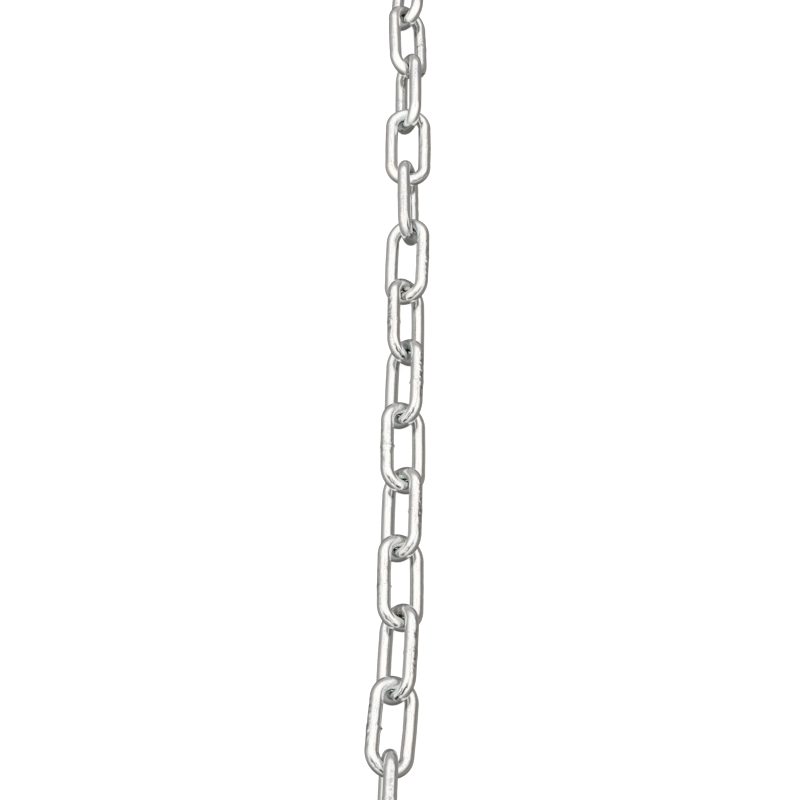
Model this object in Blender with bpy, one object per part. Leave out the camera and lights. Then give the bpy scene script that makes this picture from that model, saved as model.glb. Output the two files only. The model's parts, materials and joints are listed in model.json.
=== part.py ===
"""A length of welded steel chain lying straight on a level floor, in metres, +Z up.

Each link is a round wire bent to an oval, closed by a butt weld and threaded through
the next. The chain runs along +Y, and its origin is on the floor under its middle.
A link swings on the end bow of the link before it, and its own origin is there.
"""

import math

import bpy
from mathutils import Matrix, Vector

NAME = "steel_chain"
LINK_COUNT = 30

# One link: the wire's diameter, the inside length, and the width over both limbs.
WIRE = 0.006
PITCH = 0.033
OUTER_WIDTH = 0.0219
# Clear distance between two bows that pull on each other.
BOW_GAP = 0.0003

# The section's flat sides face in, out and half way between, a little inside the round
# wire, with corners a little outside it. A bow is cut into straight sides that touch its
# round centreline, so one of them lies square across its crown.
SECTION_SIDES = 8
SECTION_RADIUS = 0.00305
BOW_SIDES = 8

# Roll of a link about the chain, in degrees, positive with its +X limb up. Links lie
# alternately one way and the other, apart from a stretch where they have slewed round.
SLIP_LINK = 19
SLEWED_ROLL = {
    8: -28.0,
    9: 82.0,
    10: -24.0,
    11: 46.5,
    12: -28.5,
    13: 42.0,
    14: -29.0,
    15: 45.0,
    16: -46.0,
    17: 26.0,
    18: -75.0,
    19: -5.0,
    20: 65.0,
    21: -38.0,
    22: 50.0,
}

# There the chain also snakes a little: how far to the +X side each link starts.
SNAKE = {
    8: -0.0009,
    9: -0.0021,
    10: -0.0015,
    11: 0.0005,
    12: 0.0015,
    13: 0.0011,
    14: 0.0012,
    15: 0.0007,
    16: 0.0011,
    17: 0.0006,
    18: 0.0010,
    19: 0.0000,
    20: -0.0004,
    21: -0.0011,
    22: -0.0026,
    23: -0.0009,
}

ZINC_COLOUR = (0.74, 0.75, 0.76, 1.0)
ZINC_ROUGHNESS = 0.28

HALF_WIDTH = (OUTER_WIDTH - WIRE) / 2
CROWN_TO_CROWN = PITCH + WIRE
# Where the wires of two links cross, their centres are this far apart along the chain.
CROSSING = WIRE + BOW_GAP
LINK_STEP = CROWN_TO_CROWN - CROSSING
BOW_TURN = math.pi / BOW_SIDES
# The section is swept round the bow's corners unstretched, which narrows it in plan.
SQUASH = math.cos(BOW_TURN / 2)
# Roll at which a slanting side of the lower limb lies flat on the floor.
LAY_ROLL = math.degrees(math.atan(1 / SQUASH))


def clear_scene():
    for obj in list(bpy.data.objects):
        bpy.data.objects.remove(obj, do_unlink=True)


def link_name(index):
    return f"link_{index:02d}"


def roll_of(index):
    """Roll of a link in radians."""
    right_side_up = (index % 2 == 1) == (index < SLIP_LINK)
    lay = LAY_ROLL if right_side_up else -LAY_ROLL
    return math.radians(SLEWED_ROLL.get(index, lay))


def rest_height(index):
    """Height of a link's middle when its lower limb lies on the floor."""
    roll = abs(roll_of(index))
    corners = [
        (2 * side + 1) * math.pi / SECTION_SIDES for side in range(SECTION_SIDES)
    ]
    reach = max(
        SQUASH * math.cos(corner) * math.sin(roll) + math.sin(corner) * math.cos(roll)
        for corner in corners
    )
    return HALF_WIDTH * math.sin(roll) + SECTION_RADIUS * reach


def pivot_points():
    """The swing centre at the start of each link, and the far bow of the last one.

    The higher of two neighbours stands on the floor and carries the other one.
    """
    points = []
    for index in range(1, LINK_COUNT + 2):
        neighbours = [n for n in (index - 1, index) if 1 <= n <= LINK_COUNT]
        height = max(rest_height(n) for n in neighbours)
        side = SNAKE.get(index, 0.0)
        along = 0.0
        if points:
            rise = height - points[-1].z
            drift = side - points[-1].x
            along = points[-1].y + math.sqrt(LINK_STEP**2 - rise**2 - drift**2)
        points.append(Vector((side, along, height)))
    # The first link reaches this much further back than the last one reaches forward.
    middle = (points[0].y - CROSSING + points[-1].y) / 2
    return [point - Vector((0, middle, 0)) for point in points]


def link_frame(start, end, roll):
    """Matrix that puts a link's own X across it, Y along it and Z square to it."""
    along = (end - start).normalized()
    level = along.cross(Vector((0, 0, 1))).normalized()
    upright = level.cross(along)
    across = level * math.cos(roll) + upright * math.sin(roll)
    square = across.cross(along)
    frame = Matrix((across, along, square)).transposed().to_4x4()
    frame.translation = start
    return frame


def link_centreline():
    """Centreline of the wire, all round the oval, in the link's own XY plane."""
    near_centre = HALF_WIDTH - CROSSING
    far_centre = LINK_STEP - HALF_WIDTH
    corner_radius = HALF_WIDTH / math.cos(BOW_TURN / 2)
    points = []
    for centre, first_angle in ((far_centre, 0.0), (near_centre, math.pi)):
        for side in range(BOW_SIDES):
            angle = first_angle + (side + 0.5) * BOW_TURN
            x = corner_radius * math.cos(angle)
            y = centre + corner_radius * math.sin(angle)
            points.append((x, y, 0.0))
    return points


def link_curve():
    """The bent wire as a closed curve, with a flat side of its section facing in."""
    curve = bpy.data.curves.new("welded_link", "CURVE")
    curve.dimensions = "3D"
    curve.bevel_depth = SECTION_RADIUS
    curve.bevel_resolution = (SECTION_SIDES - 4) // 2
    centreline = link_centreline()
    spline = curve.splines.new("POLY")
    spline.points.add(len(centreline) - 1)
    spline.use_cyclic_u = True
    for point, place in zip(spline.points, centreline):
        point.co = (*place, 1.0)
        point.tilt = math.pi / SECTION_SIDES
    return curve


def zinc_plate():
    """Bright zinc plating on drawn steel wire."""
    material = bpy.data.materials.new("bright_zinc_plate")
    material.use_nodes = True
    shader = material.node_tree.nodes["Principled BSDF"]
    shader.inputs["Base Color"].default_value = ZINC_COLOUR
    shader.inputs["Metallic"].default_value = 1.0
    shader.inputs["Roughness"].default_value = ZINC_ROUGHNESS
    return material


def add_links(collection):
    """Thirty like links, each at its own place and roll along the chain."""
    curve = link_curve()
    curve.materials.append(zinc_plate())
    points = pivot_points()
    for index in range(1, LINK_COUNT + 1):
        link = bpy.data.objects.new(link_name(index), curve)
        link.matrix_world = link_frame(
            points[index - 1], points[index], roll_of(index)
        )
        collection.objects.link(link)


def main():
    clear_scene()
    collection = bpy.data.collections.new(NAME)
    bpy.context.scene.collection.children.link(collection)
    add_links(collection)


main()
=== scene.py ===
"""A one-metre length of welded steel chain, bright zinc plated, lying on a pale floor."""

import json
import math
import random

import bpy
import numpy as np
from mathutils import Matrix, Vector

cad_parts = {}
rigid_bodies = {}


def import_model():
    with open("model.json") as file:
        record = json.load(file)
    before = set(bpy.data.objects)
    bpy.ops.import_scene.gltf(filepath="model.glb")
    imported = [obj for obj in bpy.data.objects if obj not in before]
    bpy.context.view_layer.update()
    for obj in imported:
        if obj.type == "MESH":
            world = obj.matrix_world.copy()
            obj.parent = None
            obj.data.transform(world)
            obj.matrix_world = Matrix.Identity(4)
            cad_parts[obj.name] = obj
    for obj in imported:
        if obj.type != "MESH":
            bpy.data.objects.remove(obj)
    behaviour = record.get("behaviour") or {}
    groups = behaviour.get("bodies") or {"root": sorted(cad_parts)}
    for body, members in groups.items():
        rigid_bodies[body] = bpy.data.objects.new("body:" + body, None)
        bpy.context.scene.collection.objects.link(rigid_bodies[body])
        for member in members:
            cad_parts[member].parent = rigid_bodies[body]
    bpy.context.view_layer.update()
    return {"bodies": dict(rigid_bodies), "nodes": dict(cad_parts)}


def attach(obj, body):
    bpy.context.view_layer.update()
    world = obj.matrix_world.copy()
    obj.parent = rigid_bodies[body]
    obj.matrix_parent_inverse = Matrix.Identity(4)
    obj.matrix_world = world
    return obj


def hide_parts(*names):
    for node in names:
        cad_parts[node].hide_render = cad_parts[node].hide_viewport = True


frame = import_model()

# The links
# Thirty like links of drawn mild steel wire, each cut to length, bent round a mandrel to an
# oval through the link before it, and closed by a resistance butt weld near the middle of one
# limb. The whole chain is then zinc plated in a barrel.

# The wire's diameter, and the radius of a bow and the length of a limb along its middle.
WIRE = 0.006
BOW_RADIUS = 0.00795
LIMB_LENGTH = 0.0231
# The limbs stand out by this much at their middle, where the wire springs back from the bend.
LIMB_SPRING = 0.00012

# Points along the wire, crowded towards the weld, and round it, crowded towards the side that
# faces out and up, where the marks are.
STEPS_ALONG = 284
STEPS_AROUND = 56
CROWD_ALONG = 0.62
CROWD_AROUND = 0.45
MARKED_ANGLE = math.radians(60)

# The drawn wire is not quite true: long shallow waves, short ones, and small dents.
WAVE_DEPTH = 0.00004
WAVE_LENGTH = 0.0075
RIPPLE_DEPTH = 0.000014
RIPPLE_LENGTH = 0.0021
DENT_DEPTH = 0.0008
DENT_LENGTH = 0.0042
DENT_FROM = 0.70

# The weld: the wire is upset where its ends were pressed together, one end sits a little off
# the other, a line is left between them, and a crumb of flash hangs on the inside. The line
# breaks off where a noise falls through its span.
UPSET_HEIGHT = 0.00016
UPSET_LENGTH = 0.0016
WELD_LINE_DEPTH = 0.00013
WELD_LINE_WIDTH = 0.00018
WELD_LINE_WANDER = 0.0021
WELD_LINE_DARKNESS = 0.5
LUMP_LENGTH = 0.0014
BREAK_LENGTH = 0.0024
BREAK_SPAN = {"From Min": 0.42, "From Max": 0.58}
END_STEP = 0.00005
END_STEP_LENGTH = 0.004
BURR_HALF_LENGTH = 0.00050
BURR_HALF_ANGLE = math.radians(17)
BURR_ANGLE = math.radians(150)

# The outside of the welded limb is notched and scarred where the flash was trimmed off it
# and the link was pressed true: notches a few millimetres apart, and a finer grain on them.
NOTCH_DEPTH = 0.00085
NOTCH_LENGTH = 0.0021
NOTCH_WIDTH = 0.0018
SCAR_DEPTH = 0.00005
SCAR_GRAIN = 0.0011
SCAR_HALF_LENGTH = 0.0125
SCAR_ANGLE = math.radians(10)
SCAR_HALF_ANGLE = math.radians(19)
SCAR_DULL_ANGLE = math.radians(2)
SCAR_DULL_HALF_ANGLE = math.radians(17)

# Bending squeezed the wire a little thicker on the inside of each crown.
CROWN_SWELL = 0.00010
CROWN_SWELL_HALF_LENGTH = 0.0020
CROWN_SWELL_HALF_ANGLE = math.radians(38)

# Round it the inside of a bow is rubbed flatter where the next link has borne on it. It shows
# on four links that lie slewed, and this is how deep it goes on each of them.
BOW_WEAR_HALF_LENGTH = 0.0055
BOW_WEAR_HALF_ANGLE = math.radians(75)
BOW_WEAR = {8: 0.00015, 9: 0.00015, 10: 0.00006, 11: 0.00006}

# Slits and pits that the bending tool left before the crown of the near bow, on the welded
# limb's side, and the faint line that it dragged along the limb into them. Their colour is
# darkened by painted shade. Columns: distance from the crown, half length, angle round the
# wire, half width there, depth, and how much painted shade its colour takes.
TOOL_MARKS = (
    (0.0062, 0.0026, math.radians(42), math.radians(6.0), 0.00030, 1.0),
    (0.0052, 0.0015, math.radians(60), math.radians(4.0), 0.00020, 0.7),
    (0.0026, 0.0010, math.radians(44), math.radians(11.0), 0.00024, 1.0),
    (0.0160, 0.0095, math.radians(36), math.radians(3.0), 0.00003, 0.3),
)
TOOL_MARK_WANDER = math.radians(35)

# How a mark fades towards its ends: evenly from its middle, or late and then fast.
EVEN_FADE = 2.0
LATE_FADE = 4.0

TURN = 2 * math.pi


def linear(hex_colour):
    """Linear RGBA of an sRGB hex colour."""
    channels = [int(hex_colour[i : i + 2], 16) / 255 for i in (1, 3, 5)]
    return (
        *(c / 12.92 if c <= 0.04045 else ((c + 0.055) / 1.055) ** 2.4 for c in channels),
        1.0,
    )


def add_node(tree, kind, inputs, **settings):
    """Add a node with its settings, its inputs filled by values, sockets or other nodes."""
    node = tree.nodes.new(kind)
    for name, value in settings.items():
        setattr(node, name, value)
    for key, value in inputs.items():
        if isinstance(value, bpy.types.Node):
            value = value.outputs[0]
        if isinstance(value, bpy.types.NodeSocket):
            tree.links.new(value, node.inputs[key])
        else:
            node.inputs[key].default_value = value
    return node


MATH = "ShaderNodeMath"
VECTOR_MATH = "ShaderNodeVectorMath"
NOISE = "ShaderNodeTexNoise"
RANGE = "ShaderNodeMapRange"
MIX = "ShaderNodeMix"


def fade(tree, distance):
    """Nodes for a share that is 1 at no distance, and falls towards 0 past a distance of 1."""
    distance = add_node(tree, MATH, {0: distance, 1: -1.0}, operation="MULTIPLY")
    return add_node(tree, MATH, {0: distance}, operation="EXPONENT")


link_tree = bpy.data.node_groups.new("welded_oval_link", "GeometryNodeTree")
for name, kind in (
    ("Wire Diameter", "NodeSocketFloat"),
    ("Bow Radius", "NodeSocketFloat"),
    ("Limb Length", "NodeSocketFloat"),
    ("Steps Along", "NodeSocketInt"),
    ("Steps Around", "NodeSocketInt"),
    ("Weld Side", "NodeSocketFloat"),
    ("Weld Offset", "NodeSocketFloat"),
    ("Weld Strength", "NodeSocketFloat"),
    ("Burr Height", "NodeSocketFloat"),
    ("Scar Strength", "NodeSocketFloat"),
    ("Tool Mark Strength", "NodeSocketFloat"),
    ("Bow Wear", "NodeSocketFloat"),
    ("Seed", "NodeSocketFloat"),
    ("Finish", "NodeSocketMaterial"),
):
    link_tree.interface.new_socket(name=name, in_out="INPUT", socket_type=kind)
link_tree.interface.new_socket(name="Link", in_out="OUTPUT", socket_type="NodeSocketGeometry")
given = link_tree.nodes.new("NodeGroupInput").outputs

# A ring of points along the wire and a ring round it, both numbered, make a closed skin.
index = link_tree.nodes.new("GeometryNodeInputIndex")
path = add_node(
    link_tree, "GeometryNodeCurvePrimitiveCircle", {"Resolution": given["Steps Along"]}
)
path = add_node(link_tree, "GeometryNodeCaptureAttribute", {"Geometry": path})
path.capture_items.new("INT", "Step")
link_tree.links.new(index.outputs[0], path.inputs["Step"])
ring = add_node(
    link_tree, "GeometryNodeCurvePrimitiveCircle", {"Resolution": given["Steps Around"]}
)
ring = add_node(link_tree, "GeometryNodeCaptureAttribute", {"Geometry": ring})
ring.capture_items.new("INT", "Side")
link_tree.links.new(index.outputs[0], ring.inputs["Side"])
skin = add_node(link_tree, "GeometryNodeCurveToMesh", {"Curve": path, "Profile Curve": ring})

# Distance along the wire from the middle of the welded limb, positive towards the far bow.
bows = add_node(link_tree, MATH, {0: given["Bow Radius"], 1: TURN}, operation="MULTIPLY")
loop = add_node(
    link_tree, MATH, {0: given["Limb Length"], 1: 2.0, 2: bows}, operation="MULTIPLY_ADD"
)
half_loop = add_node(link_tree, MATH, {0: loop, 1: 0.5}, operation="MULTIPLY")
minus_half_loop = add_node(link_tree, MATH, {0: loop, 1: -0.5}, operation="MULTIPLY")
half_limb = add_node(link_tree, MATH, {0: given["Limb Length"], 1: 0.5}, operation="MULTIPLY")
share = add_node(
    link_tree, MATH, {0: path.outputs["Step"], 1: given["Steps Along"]}, operation="DIVIDE"
)
share_turn = add_node(link_tree, MATH, {0: share, 1: TURN}, operation="MULTIPLY")
crowding = add_node(link_tree, MATH, {0: share_turn}, operation="SINE")
share = add_node(
    link_tree, MATH, {0: crowding, 1: -CROWD_ALONG / TURN, 2: share}, operation="MULTIPLY_ADD"
)
travel = add_node(link_tree, MATH, {0: share, 1: loop}, operation="MULTIPLY")
along_wire = add_node(
    link_tree, MATH, {0: travel, 1: half_loop, 2: minus_half_loop}, operation="WRAP"
)
away = add_node(link_tree, MATH, {0: along_wire}, operation="ABSOLUTE")
far_or_near = add_node(link_tree, MATH, {0: along_wire}, operation="SIGN")

# Centreline: half a limb, a half turn, and half a limb back, mirrored towards the near bow.
past_limb = add_node(link_tree, MATH, {0: away, 1: half_limb}, operation="SUBTRACT")
bow_angle = add_node(link_tree, MATH, {0: past_limb, 1: given["Bow Radius"]}, operation="DIVIDE")
bow_angle = add_node(link_tree, MATH, {0: bow_angle, 1: 0.0}, operation="MAXIMUM")
bow_angle = add_node(link_tree, MATH, {0: bow_angle, 1: math.pi}, operation="MINIMUM")
bow_cos = add_node(link_tree, MATH, {0: bow_angle}, operation="COSINE")
bow_sin = add_node(link_tree, MATH, {0: bow_angle}, operation="SINE")
half_turn = add_node(link_tree, MATH, {0: given["Bow Radius"], 1: math.pi}, operation="MULTIPLY")
way_back = add_node(link_tree, MATH, {0: past_limb, 1: half_turn}, operation="SUBTRACT")
way_back = add_node(link_tree, MATH, {0: way_back, 1: 0.0}, operation="MAXIMUM")
reach = add_node(link_tree, MATH, {0: away, 1: half_limb}, operation="MINIMUM")
reach = add_node(
    link_tree, MATH, {0: bow_sin, 1: given["Bow Radius"], 2: reach}, operation="MULTIPLY_ADD"
)
reach = add_node(link_tree, MATH, {0: reach, 1: way_back}, operation="SUBTRACT")
centre_y = add_node(link_tree, MATH, {0: reach, 1: far_or_near}, operation="MULTIPLY")

from_other_middle = add_node(link_tree, MATH, {0: half_loop, 1: away}, operation="SUBTRACT")
from_middle = add_node(link_tree, MATH, {0: away, 1: from_other_middle}, operation="MINIMUM")
limb_share = add_node(link_tree, MATH, {0: from_middle, 1: half_limb}, operation="DIVIDE")
limb_share = add_node(link_tree, MATH, {0: limb_share, 1: 1.0}, operation="MINIMUM")
spring = add_node(link_tree, MATH, {0: limb_share, 1: math.pi}, operation="MULTIPLY")
spring = add_node(link_tree, MATH, {0: spring}, operation="COSINE")
spring = add_node(
    link_tree,
    MATH,
    {0: spring, 1: LIMB_SPRING / 2, 2: LIMB_SPRING / 2},
    operation="MULTIPLY_ADD",
)
half_width = add_node(link_tree, MATH, {0: given["Bow Radius"], 1: spring}, operation="ADD")
out_x = add_node(link_tree, MATH, {0: bow_cos, 1: given["Weld Side"]}, operation="MULTIPLY")
out_y = add_node(link_tree, MATH, {0: bow_sin, 1: far_or_near}, operation="MULTIPLY")
centre_x = add_node(link_tree, MATH, {0: out_x, 1: half_width}, operation="MULTIPLY")
centre = add_node(link_tree, "ShaderNodeCombineXYZ", {"X": centre_x, "Y": centre_y})
outward = add_node(link_tree, "ShaderNodeCombineXYZ", {"X": out_x, "Y": out_y})

# Angle round the wire: 0 faces out of the oval, a quarter turn faces square to it.
side_share = add_node(
    link_tree, MATH, {0: ring.outputs["Side"], 1: given["Steps Around"]}, operation="DIVIDE"
)
side_turn = add_node(link_tree, MATH, {0: side_share, 1: TURN}, operation="MULTIPLY")
side_crowding = add_node(link_tree, MATH, {0: side_turn}, operation="SINE")
angle = add_node(
    link_tree, MATH, {0: side_crowding, 1: -CROWD_AROUND, 2: side_turn}, operation="MULTIPLY_ADD"
)
angle = add_node(link_tree, MATH, {0: angle, 1: MARKED_ANGLE}, operation="ADD")
angle_cos = add_node(link_tree, MATH, {0: angle}, operation="COSINE")
angle_sin = add_node(link_tree, MATH, {0: angle}, operation="SINE")
square = add_node(link_tree, "ShaderNodeCombineXYZ", {"Z": angle_sin})
skinward = add_node(
    link_tree, VECTOR_MATH, {0: outward, 1: angle_cos, 2: square}, operation="MULTIPLY_ADD"
)
wire_radius = add_node(
    link_tree, MATH, {0: given["Wire Diameter"], 1: 0.5}, operation="MULTIPLY"
)
true_skin = add_node(
    link_tree, VECTOR_MATH, {0: skinward, 1: wire_radius, 2: centre}, operation="MULTIPLY_ADD"
)


def spot(along, half_length, middle, half_angle, ends):
    """Nodes for how far inside a mark on the wire a point is: 1 in its middle, 0 far off it.

    along is how far the point is from the mark's middle, middle is the mark's angle round the
    wire, and ends is how it fades towards its ends.
    """
    along = add_node(link_tree, MATH, {0: along, 1: half_length}, operation="DIVIDE")
    along = add_node(link_tree, MATH, {0: along, 1: ends}, operation="POWER")
    across = add_node(link_tree, MATH, {0: angle, 1: middle}, operation="SUBTRACT")
    across = add_node(link_tree, MATH, {0: across, 1: math.pi, 2: -math.pi}, operation="WRAP")
    across = add_node(link_tree, MATH, {0: across, 1: half_angle}, operation="DIVIDE")
    distance = add_node(
        link_tree, MATH, {0: across, 1: across, 2: along}, operation="MULTIPLY_ADD"
    )
    return fade(link_tree, distance)


# The noises that the forms below draw on, each with its own length and detail.
waves, ripples, dents, lumps, breaks, grain = (
    add_node(
        link_tree,
        NOISE,
        {"Vector": true_skin, "W": given["Seed"], "Scale": 1 / length, "Detail": detail},
        noise_dimensions="4D",
    )
    for length, detail in (
        (WAVE_LENGTH, 1.0),
        (RIPPLE_LENGTH, 1.0),
        (DENT_LENGTH, 0.0),
        (LUMP_LENGTH, 2.0),
        (BREAK_LENGTH, 1.0),
        (SCAR_GRAIN, 1.0),
    )
)

# Waves, ripples and dents of the drawn wire. They start the list of forms and their heights.
waves = add_node(link_tree, MATH, {0: waves, 1: 0.5}, operation="SUBTRACT")
ripples = add_node(link_tree, MATH, {0: ripples, 1: 0.5}, operation="SUBTRACT")
dents = add_node(link_tree, MATH, {0: dents, 1: DENT_FROM}, operation="SUBTRACT")
dents = add_node(link_tree, MATH, {0: dents, 1: 0.0}, operation="MAXIMUM")
forms = [(waves, 2 * WAVE_DEPTH), (ripples, 2 * RIPPLE_DEPTH), (dents, -DENT_DEPTH)]

# The upset ring of the weld, higher here and lower there.
from_weld = add_node(link_tree, MATH, {0: along_wire, 1: given["Weld Offset"]}, operation="ADD")
weld_near = add_node(link_tree, MATH, {0: from_weld, 1: UPSET_LENGTH}, operation="DIVIDE")
weld_near = add_node(link_tree, MATH, {0: weld_near, 1: weld_near}, operation="MULTIPLY")
weld_near = fade(link_tree, weld_near)
weld_near = add_node(
    link_tree, MATH, {0: weld_near, 1: given["Weld Strength"]}, operation="MULTIPLY"
)
upset = add_node(link_tree, MATH, {0: weld_near, 1: lumps}, operation="MULTIPLY")
forms.append((upset, 2 * UPSET_HEIGHT))

# The broken line between the two ends of the wire, which wanders along it.
wander = add_node(link_tree, MATH, {0: lumps, 1: 0.5}, operation="SUBTRACT")
line = add_node(
    link_tree, MATH, {0: wander, 1: -WELD_LINE_WANDER, 2: from_weld}, operation="MULTIPLY_ADD"
)
line = add_node(link_tree, MATH, {0: line, 1: WELD_LINE_WIDTH}, operation="DIVIDE")
line = add_node(link_tree, MATH, {0: line, 1: line}, operation="MULTIPLY")
line = fade(link_tree, line)
breaks = add_node(link_tree, RANGE, {"Value": breaks, **BREAK_SPAN})
line = add_node(link_tree, MATH, {0: line, 1: breaks}, operation="MULTIPLY")
line = add_node(link_tree, MATH, {0: line, 1: given["Weld Strength"]}, operation="MULTIPLY")
forms.append((line, -WELD_LINE_DEPTH))

# The crumb of flash on the inside of the weld.
burr = spot(from_weld, BURR_HALF_LENGTH, BURR_ANGLE, BURR_HALF_ANGLE, EVEN_FADE)
burr_height = add_node(
    link_tree, MATH, {0: lumps, 1: given["Burr Height"]}, operation="MULTIPLY"
)
burr_height = add_node(link_tree, MATH, {0: burr_height, 1: 2.0}, operation="MULTIPLY")
forms.append((burr, burr_height))
burr_dark = add_node(link_tree, MATH, {0: burr, 1: given["Weld Strength"]}, operation="MULTIPLY")
line_dark = add_node(link_tree, MATH, {0: line, 1: WELD_LINE_DARKNESS}, operation="MULTIPLY")
weld_dark = add_node(link_tree, MATH, {0: line_dark, 1: burr_dark}, operation="MAXIMUM")

# The trimmed outside of the welded limb, with its grain and its notches. The part of it that
# has lost its shine is a little narrower and faces further out.
scar = spot(along_wire, SCAR_HALF_LENGTH, SCAR_ANGLE, SCAR_HALF_ANGLE, LATE_FADE)
scar = add_node(link_tree, MATH, {0: scar, 1: given["Scar Strength"]}, operation="MULTIPLY")
scar_dull = spot(
    along_wire, SCAR_HALF_LENGTH, SCAR_DULL_ANGLE, SCAR_DULL_HALF_ANGLE, LATE_FADE
)
scar_dull = add_node(
    link_tree, MATH, {0: scar_dull, 1: given["Scar Strength"]}, operation="MULTIPLY"
)
grain = add_node(link_tree, MATH, {0: grain, 1: 0.5}, operation="SUBTRACT")
scarred = add_node(link_tree, MATH, {0: scar, 1: grain}, operation="MULTIPLY")
forms.append((scarred, SCAR_DEPTH))
notch_place = add_node(
    link_tree,
    VECTOR_MATH,
    {0: true_skin, 1: (1 / NOTCH_WIDTH, 1 / NOTCH_LENGTH, 1 / NOTCH_WIDTH)},
    operation="MULTIPLY",
)
notches = add_node(
    link_tree,
    NOISE,
    {"Vector": notch_place, "W": given["Seed"], "Scale": 1.0, "Detail": 1.0},
    noise_dimensions="4D",
)
notches = add_node(link_tree, MATH, {0: notches, 1: 0.5}, operation="SUBTRACT")
notched = add_node(link_tree, MATH, {0: scar, 1: notches}, operation="MULTIPLY")
forms.append((notched, NOTCH_DEPTH))

# The thickened inside of both crowns, and the worn inside of the bows round them. The crown of
# a worn bow is thickened by as much more, so it keeps its height.
quarter_loop = add_node(link_tree, MATH, {0: loop, 1: 0.25}, operation="MULTIPLY")
past_crown = add_node(link_tree, MATH, {0: away, 1: quarter_loop}, operation="SUBTRACT")
swell = spot(past_crown, CROWN_SWELL_HALF_LENGTH, math.pi, CROWN_SWELL_HALF_ANGLE, EVEN_FADE)
swell_height = add_node(
    link_tree, MATH, {0: given["Bow Wear"], 1: CROWN_SWELL}, operation="ADD"
)
forms.append((swell, swell_height))
wear = spot(past_crown, BOW_WEAR_HALF_LENGTH, math.pi, BOW_WEAR_HALF_ANGLE, LATE_FADE)
wear = add_node(link_tree, MATH, {0: wear, 1: given["Bow Wear"]}, operation="MULTIPLY")
forms.append((wear, -1.0))

# The slits and pits of the bending tool, and the painted shade that each puts into the colour.
from_crown = add_node(link_tree, MATH, {0: along_wire, 1: quarter_loop}, operation="ADD")
slit_shade_share = 0.0
for distance, half_length, mark_angle, half_angle, depth, shade_share in TOOL_MARKS:
    along = add_node(link_tree, MATH, {0: from_crown, 1: distance}, operation="SUBTRACT")
    bent = add_node(
        link_tree,
        MATH,
        {0: wander, 1: TOOL_MARK_WANDER, 2: mark_angle},
        operation="MULTIPLY_ADD",
    )
    mark = spot(along, half_length, bent, half_angle, LATE_FADE)
    mark = add_node(
        link_tree, MATH, {0: mark, 1: given["Tool Mark Strength"]}, operation="MULTIPLY"
    )
    forms.append((mark, -depth))
    # Each mark's share of painted shade, dark in its slit, which the finish darkens the colour
    # by.
    slit_shade_share = add_node(
        link_tree, MATH, {0: mark, 1: shade_share, 2: slit_shade_share}, operation="MULTIPLY_ADD"
    )

# All the forms, each at its height, added up to one relief on the true round wire.
relief = 0.0
for form, height in forms:
    relief = add_node(
        link_tree, MATH, {0: form, 1: height, 2: relief}, operation="MULTIPLY_ADD"
    )

# One end of the wire sits a little off the other and runs back true over a few millimetres.
step_fade = add_node(
    link_tree, MATH, {0: from_weld, 1: -1 / END_STEP_LENGTH}, operation="MULTIPLY"
)
step_fade = add_node(link_tree, MATH, {0: step_fade}, operation="EXPONENT")
step_side = add_node(link_tree, MATH, {0: from_weld, 1: 0.0}, operation="GREATER_THAN")
step_fade = add_node(link_tree, MATH, {0: step_fade, 1: step_side}, operation="MULTIPLY")
step_fade = add_node(
    link_tree, MATH, {0: step_fade, 1: given["Weld Strength"]}, operation="MULTIPLY"
)
end_step = add_node(
    link_tree, VECTOR_MATH, {0: (END_STEP, 0.0, END_STEP), 3: step_fade}, operation="SCALE"
)

shaped_skin = add_node(
    link_tree, VECTOR_MATH, {0: skinward, 1: relief, 2: true_skin}, operation="MULTIPLY_ADD"
)
shaped_skin = add_node(link_tree, VECTOR_MATH, {0: shaped_skin, 1: end_step}, operation="ADD")
shaped = add_node(
    link_tree, "GeometryNodeSetPosition", {"Geometry": skin, "Position": shaped_skin}
)

# What the finish reads: where a point is on the closed loop of wire and round it, how far it
# is from the weld, how much painted shade a tool mark puts on it, and how far it is inside the
# weld's line and the trimmed side.
loop_turn = add_node(link_tree, MATH, {0: along_wire, 1: loop}, operation="DIVIDE")
loop_turn = add_node(link_tree, MATH, {0: loop_turn, 1: TURN}, operation="MULTIPLY")
loop_radius = add_node(link_tree, MATH, {0: loop, 1: 1 / TURN}, operation="MULTIPLY")
loop_cos = add_node(link_tree, MATH, {0: loop_turn}, operation="COSINE")
loop_sin = add_node(link_tree, MATH, {0: loop_turn}, operation="SINE")
loop_x = add_node(link_tree, MATH, {0: loop_cos, 1: loop_radius}, operation="MULTIPLY")
loop_y = add_node(link_tree, MATH, {0: loop_sin, 1: loop_radius}, operation="MULTIPLY")
round_cos = add_node(link_tree, MATH, {0: angle_cos, 1: wire_radius}, operation="MULTIPLY")
round_sin = add_node(link_tree, MATH, {0: angle_sin, 1: wire_radius}, operation="MULTIPLY")
on_wire = add_node(link_tree, "ShaderNodeCombineXYZ", {"X": loop_x, "Y": loop_y, "Z": round_cos})
for name, kind, value in (
    ("on_wire", "FLOAT_VECTOR", on_wire),
    ("round_wire", "FLOAT", round_sin),
    ("from_weld", "FLOAT", from_weld),
    ("tool_mark_painted_shade", "FLOAT", slit_shade_share),
    ("weld_line", "FLOAT", weld_dark),
    ("scar", "FLOAT", scar_dull),
):
    shaped = add_node(
        link_tree,
        "GeometryNodeStoreNamedAttribute",
        {"Geometry": shaped, "Name": name, "Value": value},
        data_type=kind,
        domain="POINT",
    )

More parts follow.
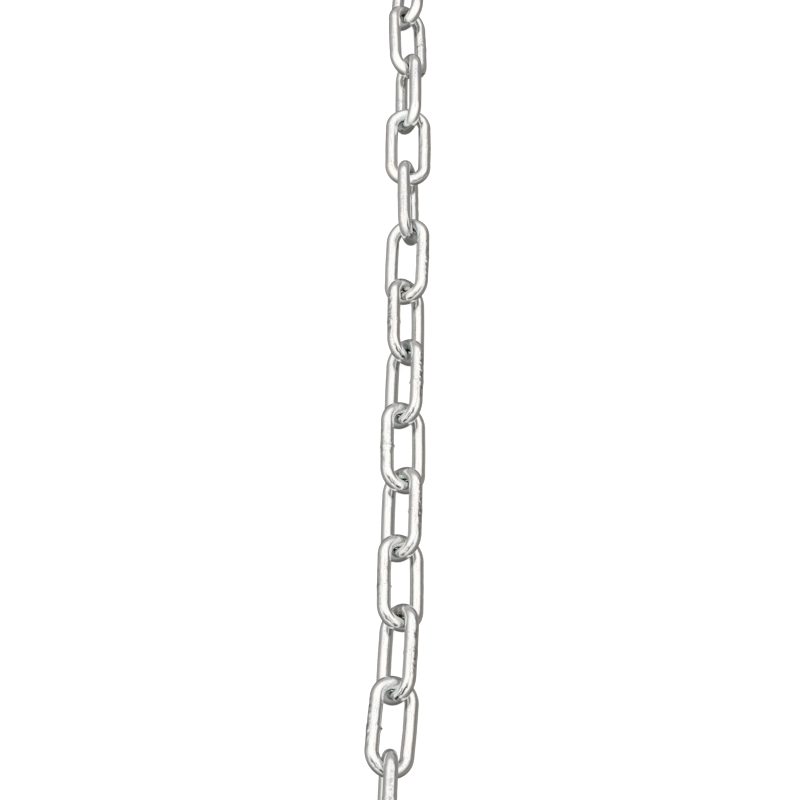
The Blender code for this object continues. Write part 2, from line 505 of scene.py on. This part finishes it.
# The mirror image, for a weld on the other limb, is turned right side out again.
mirrored = add_node(link_tree, MATH, {0: given["Weld Side"], 1: 0.0}, operation="LESS_THAN")
shaped = add_node(
    link_tree, "GeometryNodeFlipFaces", {"Mesh": shaped, "Selection": mirrored}
)
shaped = add_node(link_tree, "GeometryNodeSetShadeSmooth", {"Geometry": shaped})
shaped = add_node(link_tree, "GeometryNodeRealizeInstances", {"Geometry": shaped})
shaped = add_node(
    link_tree, "GeometryNodeSetMaterial", {"Geometry": shaped, "Material": given["Finish"]}
)
add_node(link_tree, "NodeGroupOutput", {"Link": shaped})

# Bright zinc, barrel plated on drawn wire: a thin hard metal skin that mirrors soft light,
# with fine lines along the wire from the drawing die, faint warm and blue tints of the
# passivation, small dull specks, scuffed patches on the trimmed side, and a dull, dark crust
# at the weld. The tool marks are darkened with the same colour as painted shade.
ZINC = linear("#E9EEED")
ZINC_WARM = linear("#EDEEEA")
DRAWN_STREAK = linear("#ABA5A8")
DULL_ZINC = linear("#B3B1AB")
SCUFFED_ZINC = linear("#918D86")
# Dark scale at the weld, which is also painted into the tool marks as their shade.
DARK_SCALE_AND_SHADE = linear("#4A4640")
BRIGHT_TO_DULL = {"To Min": 0.13, "To Max": 0.42}

# The size of each pattern, and the span of its noise over which it comes in.
TINT_LENGTH = 0.009
TINT_SPAN = {"From Min": 0.35, "From Max": 0.65}
SPECK_SIZE = 0.0011
SPECK_SPAN = {"From Min": 0.70, "From Max": 0.80}
PATCH_SIZE = 0.0018
PATCH_SPAN = {"From Min": 0.44, "From Max": 0.60, "To Min": 0.12}
PEEL_SIZE = 0.0016
PEEL_DEPTH = 0.00003

# Specks lie closer together near the weld, out to this distance, and on the trimmed side.
WELD_SPECKS_REACH = 0.002
WELD_SPECKS = 0.08
SCAR_SPECKS = 0.09

# Lines that the drawing die left, and the dull streaks along them, broken up by fine dots.
# A real die's lines are about a tenth as wide. These are as coarse as they need to be to show.
DIE_LINE_LENGTH = 0.012
DIE_LINE_WIDTH = 0.0007
DIE_LINE_DEPTH = 0.000028
STREAK_SPAN = {"From Min": 0.50, "From Max": 0.64}
STREAK_SHARE = 0.6
STREAK_DULLNESS = 0.25
DOT_SIZE = 0.0006
DOT_SPAN = {"From Min": 0.42, "From Max": 0.58}

zinc = bpy.data.materials.new("bright_zinc_plate_on_drawn_wire")
zinc.use_nodes = True
nodes = zinc.node_tree
shader = nodes.nodes["Principled BSDF"]
coordinates = nodes.nodes.new("ShaderNodeTexCoord")
stored = {
    name: add_node(nodes, "ShaderNodeAttribute", {}, attribute_name=name)
    for name in ("on_wire", "round_wire", "from_weld", "tool_mark_painted_shade", "weld_line", "scar")
}
tint, specks, patches, peel, dots = (
    add_node(
        nodes,
        NOISE,
        {"Vector": coordinates.outputs["Object"], "Scale": 1 / size, "Detail": detail},
    )
    for size, detail in (
        (TINT_LENGTH, 2.0),
        (SPECK_SIZE, 2.0),
        (PATCH_SIZE, 3.0),
        (PEEL_SIZE, 2.0),
        (DOT_SIZE, 2.0),
    )
)
tint = add_node(nodes, RANGE, {"Value": tint, **TINT_SPAN})

die_stretch = (1 / DIE_LINE_LENGTH, 1 / DIE_LINE_LENGTH, 1 / DIE_LINE_WIDTH)
die_place = add_node(
    nodes,
    VECTOR_MATH,
    {0: stored["on_wire"].outputs["Vector"], 1: die_stretch},
    operation="MULTIPLY",
)
die_round = add_node(
    nodes,
    MATH,
    {0: stored["round_wire"].outputs["Fac"], 1: 1 / DIE_LINE_WIDTH},
    operation="MULTIPLY",
)
die_lines = add_node(
    nodes,
    NOISE,
    {"Vector": die_place, "W": die_round, "Scale": 1.0, "Detail": 3.0},
    noise_dimensions="4D",
)
streaks = add_node(nodes, RANGE, {"Value": die_lines, **STREAK_SPAN})
dots = add_node(nodes, RANGE, {"Value": dots, **DOT_SPAN})
streaks = add_node(nodes, MATH, {0: streaks, 1: dots}, operation="MULTIPLY")
streak_share = add_node(nodes, MATH, {0: streaks, 1: STREAK_SHARE}, operation="MULTIPLY")

near_weld = add_node(
    nodes,
    MATH,
    {0: stored["from_weld"].outputs["Fac"], 1: 1 / WELD_SPECKS_REACH},
    operation="MULTIPLY",
)
near_weld = add_node(nodes, MATH, {0: near_weld, 1: near_weld}, operation="MULTIPLY")
near_weld = fade(nodes, near_weld)
specks = add_node(
    nodes, MATH, {0: near_weld, 1: WELD_SPECKS, 2: specks}, operation="MULTIPLY_ADD"
)
specks = add_node(
    nodes,
    MATH,
    {0: stored["scar"].outputs["Fac"], 1: SCAR_SPECKS, 2: specks},
    operation="MULTIPLY_ADD",
)
specks = add_node(nodes, RANGE, {"Value": specks, **SPECK_SPAN})

patches = add_node(nodes, RANGE, {"Value": patches, **PATCH_SPAN})
patches = add_node(
    nodes,
    MATH,
    {0: patches, 1: stored["scar"].outputs["Fac"]},
    operation="MULTIPLY",
    use_clamp=True,
)
# The weld's dark crust, and the painted shade in the tool marks.
crust_and_painted_shade = add_node(
    nodes,
    MATH,
    {0: stored["tool_mark_painted_shade"].outputs["Fac"], 1: stored["weld_line"].outputs["Fac"]},
    operation="MAXIMUM",
    use_clamp=True,
)

colour = add_node(nodes, MIX, {0: tint, 6: ZINC, 7: ZINC_WARM}, data_type="RGBA")
for share, layer in (
    (streak_share, DRAWN_STREAK),
    (specks, DULL_ZINC),
    (patches, SCUFFED_ZINC),
    (crust_and_painted_shade, DARK_SCALE_AND_SHADE),
):
    colour = add_node(
        nodes, MIX, {0: share, 6: colour.outputs[2], 7: layer}, data_type="RGBA"
    )

dullness = add_node(nodes, MATH, {0: crust_and_painted_shade, 1: specks}, operation="MAXIMUM")
dullness = add_node(
    nodes, MATH, {0: streaks, 1: STREAK_DULLNESS, 2: dullness}, operation="MULTIPLY_ADD"
)
roughness = add_node(nodes, RANGE, {"Value": dullness, **BRIGHT_TO_DULL})
bump = add_node(
    nodes, "ShaderNodeBump", {"Strength": 1.0, "Distance": PEEL_DEPTH, "Height": peel}
)
bump = add_node(
    nodes,
    "ShaderNodeBump",
    {"Strength": 1.0, "Distance": DIE_LINE_DEPTH, "Height": die_lines, "Normal": bump},
)
nodes.links.new(colour.outputs[2], shader.inputs["Base Color"])
nodes.links.new(roughness.outputs[0], shader.inputs["Roughness"])
nodes.links.new(bump.outputs[0], shader.inputs["Normal"])
shader.inputs["Metallic"].default_value = 1.0


def link_axes(node):
    """Matrix of a link's own axes in the CAD node: X across it, Y along it, Z square to it.

    The node's mesh is loose triangles, so each corner is counted once, to the micrometre.
    """
    corners = np.unique(np.round([v.co for v in node.data.vertices], 6), axis=0)
    middle = corners.mean(axis=0)
    axes = np.linalg.eigh(np.cov((corners - middle).T))[1]
    along = Vector(axes[:, 2])
    along *= math.copysign(1, along.y)
    across = Vector(axes[:, 1])
    across *= math.copysign(1, across.x)
    turned = Matrix((across, along, across.cross(along))).transposed().to_4x4()
    turned.translation = Vector(middle)
    return turned


# On the links that show: how far the weld sits from the limb's middle towards the near bow,
# how clear it is, how far its flash stands out, and how clear the scar and tool marks are.
LINK_LOOKS = {
    9: (0.0010, 0.5, 0.0001, 0.6, 0.8),
    10: (0.0028, 1.0, 0.00065, 1.3, 0.9),
    11: (0.0016, 0.6, 0.0002, 0.9, 1.6),
    12: (0.0035, 0.6, 0.0002, 0.7, 1.0),
    13: (0.0009, 0.6, 0.0003, 0.9, 0.9),
    14: (0.0014, 1.0, 0.0003, 0.6, 1.1),
    15: (0.0022, 0.8, 0.0003, 1.2, 1.1),
    16: (0.0034, 0.8, 0.0002, 1.1, 1.3),
    17: (-0.0003, 0.5, 0.0001, 0.9, 1.0),
    18: (0.0010, 0.4, 0.0001, 0.2, 0.9),
    19: (0.0010, 0.4, 0.0001, 0.7, 0.6),
    20: (0.0012, 0.2, 0.0001, 1.0, 0.9),
    21: (0.0010, 0.5, 0.0001, 1.1, 1.0),
    22: (0.0010, 0.4, 0.0001, 1.0, 1.0),
}
# The other links draw theirs at random between these limits.
OTHER_LOOKS = ((0.0, 0.0035), (0.3, 1.0), (0.0001, 0.0005), (0.5, 1.1), (0.5, 1.1))
SEED_STEP = 7.31

socket_names = {
    item.name: item.identifier
    for item in link_tree.interface.items_tree
    if item.in_out == "INPUT"
}
for body in frame["bodies"]:
    number = int(body.split("_")[1])
    chance = random.Random(number)
    axes = link_axes(frame["nodes"][body])
    # Every other link is turned the other way round, so the welds alternate.
    weld_side = 1.0 if number % 2 else -1.0
    blank = bpy.data.meshes.new("blank_link")
    other_looks = [chance.uniform(*limits) for limits in OTHER_LOOKS]
    weld_offset, weld_strength, flash_height, scar_strength, mark_strength = LINK_LOOKS.get(
        number, other_looks
    )
    link = bpy.data.objects.new(f"zinc_{body}", blank)
    bpy.context.scene.collection.objects.link(link)
    bending = link.modifiers.new("bent_and_welded", "NODES")
    bending.node_group = link_tree
    for name, value in (
        ("Wire Diameter", WIRE),
        ("Bow Radius", BOW_RADIUS),
        ("Limb Length", LIMB_LENGTH),
        ("Steps Along", STEPS_ALONG),
        ("Steps Around", STEPS_AROUND),
        ("Weld Side", weld_side),
        ("Weld Offset", weld_offset),
        ("Weld Strength", weld_strength),
        ("Burr Height", flash_height),
        ("Scar Strength", scar_strength),
        ("Tool Mark Strength", mark_strength),
        ("Bow Wear", BOW_WEAR.get(number, 0.0)),
        ("Seed", number * SEED_STEP),
        ("Finish", zinc),
    ):
        bending[socket_names[name]] = value
    graph = bpy.context.evaluated_depsgraph_get()
    link.data = bpy.data.meshes.new_from_object(
        link.evaluated_get(graph), preserve_all_data_layers=True, depsgraph=graph
    )
    link.modifiers.clear()
    bpy.data.meshes.remove(blank)
    link.data.name = link.name
    link.data.transform(axes)
    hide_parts(body)
    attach(link, body)

# The floor
# A wide sheet of opal acrylic, lit from below as on a light table, so that it stays pale and
# takes only a faint shadow. Bright metal does not mirror it.
FLOOR_SIZE = 12.0
# The round wire rests this far below the flat sides of the solids that it stands for.
FLOOR_LEVEL = -0.0003
OPAL = linear("#AEAEAD")
OPAL_ROUGHNESS = 0.9
OPAL_GLOW = linear("#FFFFFF")
OPAL_GLOW_STRENGTH = 0.85

floor_mesh = bpy.data.meshes.new("light_table")
half = FLOOR_SIZE / 2
floor_corners = [(-half, -half), (half, -half), (half, half), (-half, half)]
floor_corners = [(*corner, FLOOR_LEVEL) for corner in floor_corners]
floor_mesh.from_pydata(floor_corners, [], [(0, 1, 2, 3)])
floor = bpy.data.objects.new("light_table", floor_mesh)
bpy.context.scene.collection.objects.link(floor)
opal = bpy.data.materials.new("opal_acrylic_sheet")
opal.use_nodes = True
opal_shader = opal.node_tree.nodes["Principled BSDF"]
opal_shader.inputs["Base Color"].default_value = OPAL
opal_shader.inputs["Roughness"].default_value = OPAL_ROUGHNESS
opal_shader.inputs["Specular IOR Level"].default_value = 0.0
opal_shader.inputs["Emission Color"].default_value = OPAL_GLOW
opal_shader.inputs["Emission Strength"].default_value = OPAL_GLOW_STRENGTH
floor_mesh.materials.append(opal)
floor.visible_glossy = False

# The light
# A white tent over the chain, tipped a little towards the camera. Its edge is soft at the
# front and the left, and firmer on the right and behind. Round it the studio is grey, lightest
# behind, with a darker ground. The camera itself sees plain white.

# Where the tent's edge is and how far it fades, as cosines of the angle from its axis.
TENT_AXIS = Vector((-0.05, -0.24, 0.969))
TENT_EDGE_LEFT = 0.36
TENT_EDGE_RIGHT = 0.32
TENT_EDGE_BEHIND = 0.28
TENT_EDGE_FRONT = 0.42
TENT_SOFT_LEFT = 0.33
TENT_SOFT_RIGHT = 0.20
TENT_SOFT_BEHIND = 0.13
TENT_SOFT_FRONT = 0.42

# Strengths of the light in linear red, green and blue.
TENT_WHITE = (1.185, 1.145, 1.145, 1.0)
STUDIO_LEFT = (0.480, 0.455, 0.446, 1.0)
STUDIO_RIGHT = (0.258, 0.236, 0.221, 1.0)
STUDIO_BEHIND = (0.510, 0.484, 0.478, 1.0)
GROUND_LEFT = (0.385, 0.365, 0.360, 1.0)
GROUND_RIGHT = (0.330, 0.308, 0.297, 1.0)
GROUND_BEHIND = (0.130, 0.128, 0.126, 1.0)
SEEN_WHITE = (1.0, 1.0, 1.0, 1.0)

# The spans of a direction's share to the right, back or up, over which one side goes over into
# the other. The tent's edge and the greys below it have a span each towards the back.
LEFT_TO_RIGHT = {"From Min": -0.6, "From Max": 0.6}
EDGE_TO_BACK = {"From Min": 0.55, "From Max": 0.87}
EDGE_TO_FRONT = {"From Min": 0.2, "From Max": -0.9}
GREY_TO_BACK = {"From Min": 0.5, "From Max": 0.95}
GROUND_TO_STUDIO = {"From Min": -0.35, "From Max": 0.05}

# Below the camera the ground is darker, down to the last share here.
GROUND_DIRECTION = Vector((0.0, -0.4, -0.92))
GROUND_SHADE = {"From Min": 0.45, "From Max": 0.88, "To Min": 1.0, "To Max": 0.47}

world = bpy.data.worlds.new("studio_tent")
bpy.context.scene.world = world
world.use_nodes = True
sky = world.node_tree
direction = sky.nodes.new("ShaderNodeTexCoord").outputs["Generated"]
facing = add_node(sky, VECTOR_MATH, {0: direction, 1: TENT_AXIS}, operation="DOT_PRODUCT")
parts = add_node(sky, "ShaderNodeSeparateXYZ", {0: direction})
right, back, up = parts.outputs
rightward = add_node(sky, RANGE, {"Value": right, **LEFT_TO_RIGHT})
backward = add_node(sky, RANGE, {"Value": back, **EDGE_TO_BACK})
frontward = add_node(sky, RANGE, {"Value": back, **EDGE_TO_FRONT})
edge = add_node(sky, MIX, {0: rightward, 2: TENT_EDGE_LEFT, 3: TENT_EDGE_RIGHT})
edge = add_node(sky, MIX, {0: backward, 2: edge, 3: TENT_EDGE_BEHIND})
edge = add_node(sky, MIX, {0: frontward, 2: edge, 3: TENT_EDGE_FRONT})
softness = add_node(sky, MIX, {0: rightward, 2: TENT_SOFT_LEFT, 3: TENT_SOFT_RIGHT})
softness = add_node(sky, MIX, {0: backward, 2: softness, 3: TENT_SOFT_BEHIND})
softness = add_node(sky, MIX, {0: frontward, 2: softness, 3: TENT_SOFT_FRONT})
edge_low = add_node(sky, MATH, {0: edge, 1: softness}, operation="SUBTRACT")
edge_high = add_node(sky, MATH, {0: edge, 1: softness}, operation="ADD")
inside = add_node(
    sky,
    RANGE,
    {"Value": facing.outputs["Value"], "From Min": edge_low, "From Max": edge_high},
    interpolation_type="SMOOTHSTEP",
)
studio = add_node(sky, MIX, {0: rightward, 6: STUDIO_LEFT, 7: STUDIO_RIGHT}, data_type="RGBA")
ground = add_node(sky, MIX, {0: rightward, 6: GROUND_LEFT, 7: GROUND_RIGHT}, data_type="RGBA")
above_ground = add_node(sky, RANGE, {"Value": up, **GROUND_TO_STUDIO})
studio = add_node(
    sky, MIX, {0: above_ground, 6: ground.outputs[2], 7: studio.outputs[2]}, data_type="RGBA"
)
behind = add_node(
    sky, MIX, {0: above_ground, 6: GROUND_BEHIND, 7: STUDIO_BEHIND}, data_type="RGBA"
)
far_back = add_node(
    sky, RANGE, {"Value": back, **GREY_TO_BACK}, interpolation_type="SMOOTHSTEP"
)
studio = add_node(
    sky, MIX, {0: far_back, 6: studio.outputs[2], 7: behind.outputs[2]}, data_type="RGBA"
)
below = add_node(sky, VECTOR_MATH, {0: direction, 1: GROUND_DIRECTION}, operation="DOT_PRODUCT")
shade = add_node(sky, RANGE, {"Value": below.outputs["Value"], **GROUND_SHADE})
studio = add_node(sky, VECTOR_MATH, {0: studio.outputs[2], 3: shade}, operation="SCALE")
tent = add_node(sky, MIX, {0: inside, 6: studio, 7: TENT_WHITE}, data_type="RGBA")
seen = sky.nodes.new("ShaderNodeLightPath").outputs["Is Camera Ray"]
tent = add_node(sky, MIX, {0: seen, 6: tent.outputs[2], 7: SEEN_WHITE}, data_type="RGBA")
sky.links.new(tent.outputs[2], sky.nodes["Background"].inputs["Color"])

# The camera
# A long lens that looks down on the chain and along it.
CAMERA_TARGET = Vector((-0.00090, -0.02457, 0.0080))
CAMERA_ELEVATION = math.radians(61.0)
CAMERA_YAW = math.radians(-1.31)
CAMERA_DISTANCE = 0.8767
CAMERA_LENS = 87.3
CAMERA_SENSOR = 36.0

camera_data = bpy.data.cameras.new("studio_camera")
camera_data.lens = CAMERA_LENS
camera_data.sensor_width = CAMERA_SENSOR
camera = bpy.data.objects.new("studio_camera", camera_data)
bpy.context.scene.collection.objects.link(camera)
look = Vector(
    (
        math.sin(CAMERA_YAW) * math.cos(CAMERA_ELEVATION),
        math.cos(CAMERA_YAW) * math.cos(CAMERA_ELEVATION),
        -math.sin(CAMERA_ELEVATION),
    )
)
camera.location = CAMERA_TARGET - look * CAMERA_DISTANCE
camera.rotation_euler = look.to_track_quat("-Z", "Y").to_euler()
bpy.context.scene.camera = camera
# Colours come out as they are, without a film's curve.
bpy.context.scene.view_settings.view_transform = "Standard"
